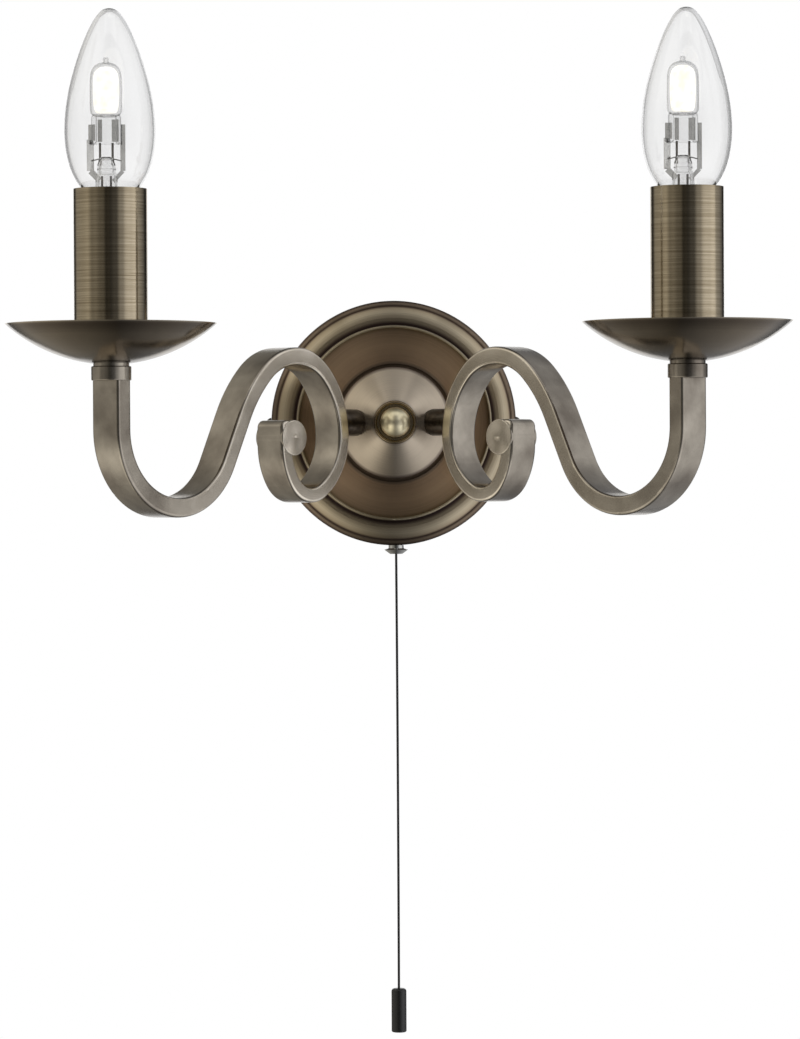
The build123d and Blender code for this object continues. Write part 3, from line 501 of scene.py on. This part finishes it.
# all lamp sizes are millimetres: up from the tube's top edge, and out from the bulb's or the capsule's axis
bulb = {
    "outline": [
        (6.6, -7.4), (7.0, -5.6), (11.4, 0.5), (14.0, 4.2), (16.3, 10.2), (17.5, 17.6), (17.65, 24.1),
        (17.0, 31.8), (15.5, 39.4), (13.4, 46.9), (10.9, 54.4), (8.0, 61.2), (5.0, 66.4), (2.3, 68.8),
        (0, 69.0),
    ],
    "wall": 1.0,
    "steps": 32,    # sides of each turned shape before it is rounded
}
capsule = {
    "shift": -1.4,    # the capsule and its stem stand a little left in the bulb
    "outline": [
        (0, 27.2), (4.2, 27.2), (6.2, 28.4), (6.35, 31.0), (6.35, 42.0), (5.9, 45.2), (4.2, 47.4),
        (2.0, 48.1), (1.1, 48.2), (1.0, 48.6), (1.3, 49.5), (0.8, 50.15), (0, 50.2),
    ],
    "wall": 0.5,
    "steps": 24,
}
glow = {    # the coil and the light round it, as one body
    "outline": [(0, 28.3), (3.6, 28.5), (5.0, 30.2), (5.1, 42.0), (4.5, 44.6), (2.6, 46.4), (0, 46.6)],
    "steps": 24,
}
seal = {    # the capsule's pinched end, with a foil for each wire
    "width": 11.4, "depth": 3.4, "web": 1.5, "low": 17.0, "high": 28.0,
    "rib": 2.2, "ribRounding": 0.9,
    "foilWall": 0.06, "foilLow": 18.0, "foilHigh": 26.5,
    "foils": [(-2.4, 1.7), (3.4, 2.6)],    # middle and width
}
stem = {    # the bulb's inner stem, from its flared foot up to its rings
    "outline": [
        (6.2, -5.4), (5.6, -3.6), (4.7, -0.6), (4.2, 3.0), (4.3, 5.0), (3.9, 5.9), (3.2, 6.5), (3.9, 7.5),
        (3.3, 8.4), (3.7, 9.4), (3.0, 10.4), (3.2, 11.2), (2.4, 12.2), (0, 12.5),
    ],
    "wall": 1.0,
    "steps": 24,
}
wires = {
    "radius": 0.45,
    "sides": 16,
    "upper": {"at": 2.4, "low": 9.0, "high": 17.6},     # from the stem up into the seal
    "lower": {"at": 1.7, "low": -5.4, "high": 5.0},     # inside the stem
    "tie": {"radius": 0.22, "level": 11.6, "reach": 5.6, "drop": 0.8},    # from each upper wire to its strip
}
strips = {
    "wall": 0.35,
    "footShare": 0.8,    # the bent foot's width against the strip's
    "left": {"width": 2.9, "turn": 30, "at": -6.1, "top": 18.8, "bend": 6.9, "foot": (-2.6, 3.4)},
    "right": {"width": 1.9, "turn": -12, "at": 6.3, "top": 24.6, "bend": 6.9, "foot": (2.6, 3.0)},
    # the left strip's upper end, a flat piece at the seal's edge
    "clamp": {"width": 2.5, "turn": -12, "at": -5.6, "top": 24.6, "bend": 18.4},
}
roundLevels = 2    # subdivision of the turned glass
mm = 0.001


# makes the mesh a piece that rides on a body; smooth is subdivision levels, wall is in millimetres
def newPiece(name, mesh, body, finish, replaced=(), smooth=0, wall=0):
    bmesh.ops.remove_doubles(mesh, verts=mesh.verts, dist=1e-6)
    bmesh.ops.recalc_face_normals(mesh, faces=mesh.faces)
    for face in mesh.faces:
        face.smooth = smooth > 0
    data = bpy.data.meshes.new(name)
    mesh.to_mesh(data)
    mesh.free()
    data.materials.append(finish)
    piece = bpy.data.objects.new(name, data)
    scene.collection.objects.link(piece)
    if smooth > 0:
        rounding = piece.modifiers.new("rounding", "SUBSURF")
        rounding.levels = smooth
        rounding.render_levels = smooth
    if wall > 0:    # inwards from the outline
        hollow = piece.modifiers.new("wall", "SOLIDIFY")
        hollow.thickness = wall * mm
        hollow.offset = -1
    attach(piece, body)
    if replaced:
        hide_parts(*replaced)
    return piece


# turns an outline of (radius, height) round the Z axis into the mesh
def spinOutline(mesh, outline, origin, steps):
    line = [mesh.verts.new(Vector((radius, 0, height)) * mm + origin) for radius, height in outline]
    edges = [mesh.edges.new(pair) for pair in zip(line, line[1:])]
    bmesh.ops.spin(
        mesh, geom=line + edges, cent=origin, axis=(0, 0, 1), dvec=(0, 0, 0), angle=2 * math.pi,
        steps=steps, use_merge=True, use_duplicate=False,
    )


# a block between two corners, in millimetres from the origin, turned by degrees about its own middle
def addBlock(mesh, low, high, origin, turn=0, rounding=0.0):
    low, high = Vector(low) * mm, Vector(high) * mm
    size = high - low
    place = Matrix.Translation(origin) @ Matrix.Translation((low + high) / 2)
    place = place @ Matrix.Rotation(math.radians(turn), 4, "Z") @ Matrix.Diagonal((*size, 1))
    made = bmesh.ops.create_cube(mesh, size=1.0, matrix=place)
    if rounding:
        edges = {edge for vert in made["verts"] for edge in vert.link_edges}
        bmesh.ops.bevel(
            mesh, geom=list(edges), offset=rounding * mm, affect="EDGES",
            segments=2, profile=0.5, material=-1,
        )


# a round wire between two points, in millimetres from the origin
def addWire(mesh, start, end, radius, origin):
    start, end = Vector(start) * mm + origin, Vector(end) * mm + origin
    turn = (end - start).to_track_quat("Z", "Y").to_matrix().to_4x4()
    bmesh.ops.create_cone(
        mesh, cap_ends=True, segments=wires["sides"], radius1=radius * mm, radius2=radius * mm,
        depth=(end - start).length, matrix=Matrix.Translation((start + end) / 2) @ turn,
    )


# a round part of the lamp, made from its outline in place of one of the part's plain solids
def addTurned(body, name, shape, centre, finish, replaced):
    mesh = bmesh.new()
    spinOutline(mesh, shape["outline"], centre, shape["steps"])
    newPiece(body + name, mesh, body, finish, [body + replaced], roundLevels, shape.get("wall", 0))


# the upright part of a support strip, turned a little about its own middle
def addStrip(mesh, strip, origin):
    half, wall = strip["width"] / 2, strips["wall"] / 2
    low, high = (strip["at"] - half, -wall, strip["bend"]), (strip["at"] + half, wall, strip["top"])
    addBlock(mesh, low, high, origin, strip["turn"])


# the strip's lower end, bent in towards the stem
def addFoot(mesh, strip, origin):
    at, bend = strip["at"], strip["bend"]
    footAt, footLevel = strip["foot"]
    lean = math.atan2(footAt - at, bend - footLevel)
    length = math.hypot(footAt - at, bend - footLevel)
    middlePoint = Vector(((footAt + at) / 2, 0, (footLevel + bend) / 2)) * mm
    size = Vector((strip["width"] * strips["footShare"], strips["wall"], length)) * mm
    place = Matrix.Translation(origin + middlePoint) @ Matrix.Rotation(-lean, 4, "Y")
    bmesh.ops.create_cube(mesh, size=1.0, matrix=place @ Matrix.Diagonal((*size, 1)))


def makeLamp(side):
    body = side + "_lamp"
    axis = middle(body + "_glass")
    origin = Vector((axis.x, axis.y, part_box(side + "_candle_tube")[1][2]))
    inner = origin + Vector((capsule["shift"] * mm, 0, 0))
    glass = finishes["clear_glass"]

    addTurned(body, "_bulb", bulb, origin, glass, "_glass")
    addTurned(body, "_quartz", capsule, inner, glass, "_capsule")
    addTurned(body, "_coil", glow, inner, hotCoil, "_filament")

    # pinched seal: a thin web between two thicker ribs
    mesh = bmesh.new()
    half, depth, web = seal["width"] / 2, seal["depth"] / 2, seal["web"] / 2
    addBlock(mesh, (-half, -web, seal["low"]), (half, web, seal["high"]), inner)
    for edge in (-half, half - seal["rib"]):
        low, high = (edge, -depth, seal["low"]), (edge + seal["rib"], depth, seal["high"])
        addBlock(mesh, low, high, inner, rounding=seal["ribRounding"])
    newPiece(body + "_pinch", mesh, body, glass)

    addTurned(body, "_flare", stem, inner, glass, "_stem")

    mesh = bmesh.new()
    tie = wires["tie"]
    for way in (-1, 1):
        for wire in (wires["upper"], wires["lower"]):
            at = way * wire["at"]
            addWire(mesh, (at, 0, wire["low"]), (at, 0, wire["high"]), wires["radius"], inner)
        start = (way * wires["upper"]["at"], 0, tie["level"])
        end = (way * tie["reach"], 0, tie["level"] - tie["drop"])
        addWire(mesh, start, end, tie["radius"], inner)
    newPiece(body + "_leads", mesh, body, finishes["tungsten"], [body + "_supports"])

    mesh = bmesh.new()
    for at, width in seal["foils"]:
        foil, wall = width / 2, seal["foilWall"] / 2
        addBlock(mesh, (at - foil, -wall, seal["foilLow"]), (at + foil, wall, seal["foilHigh"]), inner)
    for name in ("clamp", "left", "right"):
        addStrip(mesh, strips[name], inner)
        if "foot" in strips[name]:
            addFoot(mesh, strips[name], inner)
    newPiece(body + "_strips", mesh, body, finishes["nickel"])


for side in ("left", "right"):
    makeLamp(side)
print("lamps made")


studio = {
    "domeRadius": 2.4,
    "windowAngle": 24,    # degrees about +Y where the dome is open to the white background
    "floorLevel": -2.45,    # just under the dome
    "floorHalf": 4,
    "floorPaint": 0.8,
    "room": 0.55,    # the world as matt surfaces see it
    # soft boxes and dark cards: degrees to the right of the camera, and brightness
    "cards": [
        (-180, 0.03), (-137, 0.06), (-125, 0.4), (-100, 0.48), (-85, 0.5), (-70, 0.6), (-57, 0.26),
        (-45, 0.3), (-32, 0.17), (-20, 0.15), (-14, 0.03), (-6, 0.06), (0, 0.05), (10, 0.11), (19, 0.10),
        (28, 0.42), (38, 0.46), (46, 0.9), (55, 1.05), (66, 1.05), (78, 1.25), (90, 1.1), (97, 0.55),
        (110, 0.42), (128, 0.18), (137, 0.03), (180, 0.03),
    ],
    # the same well above or below the camera's level, and how far they have taken over
    "raised": [
        (-180, 0.15), (-140, 0.6), (-100, 1.0), (-60, 1.2), (-28, 1.15), (-13, 0.4), (0, 0.14), (13, 0.4),
        (28, 1.15), (60, 1.35), (100, 1.2), (140, 0.7), (180, 0.15),
    ],
    "raisedShare": [(0.0, 1.0), (0.26, 1.0), (0.4, 0.0), (0.6, 0.0), (0.74, 1.0), (1.0, 1.0)],
    # brightness by level, from under the object (0) to over it (1)
    "heights": [(0.0, 0.6), (0.08, 0.75), (0.25, 1.0), (0.72, 1.0), (0.85, 0.75), (0.93, 0.5), (1.0, 0.5)],
    "glassClear": 0.5,     # how far the bulbs' own glass sees past the cards to the white background
    "leftTint": (1.04, 1.0, 0.91),
    "rightTint": (0.98, 0.99, 1.02),
    "overhead": {"place": (0.0, -0.6, 1.6), "size": (1.4, 1.0), "aim": (0, -0.06, 0), "power": 3},
}


# 1 where the camera, a glossy reflection or a glass looks at the background
def backgroundWhite(tree):
    rays = addNode(tree, "LightPath")
    glossy = addNode(
        tree, "Math", operation="MAXIMUM",
        links={0: rays.outputs["Is Glossy Ray"], 1: rays.outputs["Is Transmission Ray"]},
    )
    seen = addNode(
        tree, "Math", operation="MAXIMUM", links={0: rays.outputs["Is Camera Ray"], 1: glossy.outputs[0]}
    )
    return seen.outputs[0]


def makeWorld():
    world = bpy.data.worlds.new("studioWorld")
    scene.world = world
    world.use_nodes = True
    tree = world.node_tree
    tree.nodes.clear()
    room = addNode(tree, "Background", values={"Color": grey(studio["room"]), "Strength": 1.0})
    white = addNode(tree, "Background", values={"Color": grey(1.0), "Strength": 1.0})
    mix = addNode(
        tree, "MixShader", links={0: backgroundWhite(tree), 1: room.outputs[0], 2: white.outputs[0]}
    )
    addNode(tree, "OutputWorld", links={"Surface": mix.outputs[0]})


def makeFloor():
    mesh = bmesh.new()
    bmesh.ops.create_grid(mesh, x_segments=1, y_segments=1, size=studio["floorHalf"])
    bmesh.ops.translate(mesh, verts=mesh.verts, vec=(0, 0, studio["floorLevel"]))
    data = bpy.data.meshes.new("studioFloor")
    mesh.to_mesh(data)
    mesh.free()
    floor = bpy.data.objects.new("studioFloor", data)
    scene.collection.objects.link(floor)
    material, tree = newMaterial("pale floor")
    paint = addNode(tree, "BsdfDiffuse", values={"Color": grey(studio["floorPaint"])})
    white = addNode(tree, "Emission", values={"Color": grey(1.0), "Strength": 1.0})
    mix = addNode(
        tree, "MixShader", links={0: backgroundWhite(tree), 1: paint.outputs[0], 2: white.outputs[0]}
    )
    addNode(tree, "OutputMaterial", links={"Surface": mix.outputs[0]})
    data.materials.append(material)


# soft boxes and cards painted on a dome and seen only in reflections; they run as bands from the floor,
# behind the camera or past the object's side, to the ceiling
def makeDome():
    mesh = bmesh.new()
    bmesh.ops.create_uvsphere(mesh, u_segments=96, v_segments=48, radius=studio["domeRadius"])
    window = math.cos(math.radians(studio["windowAngle"]))
    behind = [face for face in mesh.faces if face.calc_center_median().normalized().y > window]
    bmesh.ops.delete(mesh, geom=behind, context="FACES")
    data = bpy.data.meshes.new("studioDome")
    mesh.to_mesh(data)
    mesh.free()
    dome = bpy.data.objects.new("studioDome", data)
    scene.collection.objects.link(dome)
    material, tree = newMaterial("studio cards")
    place = addNode(tree, "TexCoord")
    split = addNode(tree, "SeparateXYZ", links={"Vector": place.outputs["Object"]})
    # a band keeps its angle at every height: X against the whole reach in Y and Z, with Y's sign
    front = addNode(tree, "Math", operation="MULTIPLY", links={0: split.outputs["Y"]}, values={1: -1.0})
    flat = addNode(tree, "CombineXYZ", links={"Y": split.outputs["Y"], "Z": split.outputs["Z"]})
    reach = addNode(tree, "VectorMath", operation="LENGTH", links={0: flat.outputs[0]})
    facing = addNode(tree, "Math", operation="SIGN", links={0: front.outputs[0]})
    depth = addNode(
        tree, "Math", operation="MULTIPLY", links={0: reach.outputs["Value"], 1: facing.outputs[0]}
    )
    azimuth = addNode(tree, "Math", operation="ARCTAN2", links={0: split.outputs["X"], 1: depth.outputs[0]})
    turn = addNode(
        tree, "Math", operation="MULTIPLY_ADD", links={0: azimuth.outputs[0]},
        values={1: 1 / (2 * math.pi), 2: 0.5},
    )
    level = addNode(
        tree, "Math", operation="MULTIPLY_ADD", links={0: split.outputs["Z"]},
        values={1: 0.5 / studio["domeRadius"], 2: 0.5},
    )
    bands = []
    for name in ("cards", "raised"):
        stops = []
        for degrees, brightness in studio[name]:
            tint = studio["leftTint"] if degrees < 0 else studio["rightTint"]
            stops.append((0.5 + degrees / 360, [brightness * part for part in tint] + [1]))
        bands.append(addNode(tree, "ValToRGB", links={"Fac": turn.outputs[0]}))
        setRamp(bands[-1], stops)
    takenOver = addNode(tree, "ValToRGB", links={"Fac": level.outputs[0]})
    setRamp(takenOver, [(share, grey(part)) for share, part in studio["raisedShare"]])
    cards = addNode(
        tree, "MixRGB", links={0: takenOver.outputs[0], 1: bands[0].outputs[0], 2: bands[1].outputs[0]}
    )
    heights = addNode(tree, "ValToRGB", links={"Fac": level.outputs[0]})
    setRamp(heights, [(share, grey(left)) for share, left in studio["heights"]])
    shade = addNode(
        tree, "MixRGB", blend_type="MULTIPLY",
        links={1: cards.outputs[0], 2: heights.outputs[0]}, values={0: 1.0},
    )
    light = addNode(tree, "Emission", links={"Color": shade.outputs[0]}, values={"Strength": 1.0})
    clear = addNode(tree, "BsdfTransparent")
    rays = addNode(tree, "LightPath")
    faint = addNode(
        tree, "Math", operation="MULTIPLY", links={0: rays.outputs["Is Transmission Ray"]},
        values={1: studio["glassClear"]},
    )
    through = addNode(
        tree, "Math", operation="MAXIMUM", links={0: rays.outputs["Is Camera Ray"], 1: faint.outputs[0]}
    )
    mix = addNode(
        tree, "MixShader", links={0: through.outputs[0], 1: light.outputs[0], 2: clear.outputs[0]}
    )
    addNode(tree, "OutputMaterial", links={"Surface": mix.outputs[0]})
    data.materials.append(material)


def makeSoftBox(name, box):
    data = bpy.data.lights.new(name, "AREA")
    data.shape = "RECTANGLE"
    data.size, data.size_y = box["size"]
    data.energy = box["power"]
    lamp = bpy.data.objects.new(name, data)
    scene.collection.objects.link(lamp)
    facing = (Vector(box["aim"]) - Vector(box["place"])).to_track_quat("-Z", "Y")
    lamp.matrix_world = Matrix.Translation(box["place"]) @ facing.to_matrix().to_4x4()
    lamp.visible_camera = False


makeWorld()
makeFloor()
makeDome()
makeSoftBox("overheadBox", studio["overhead"])
print("studio made")
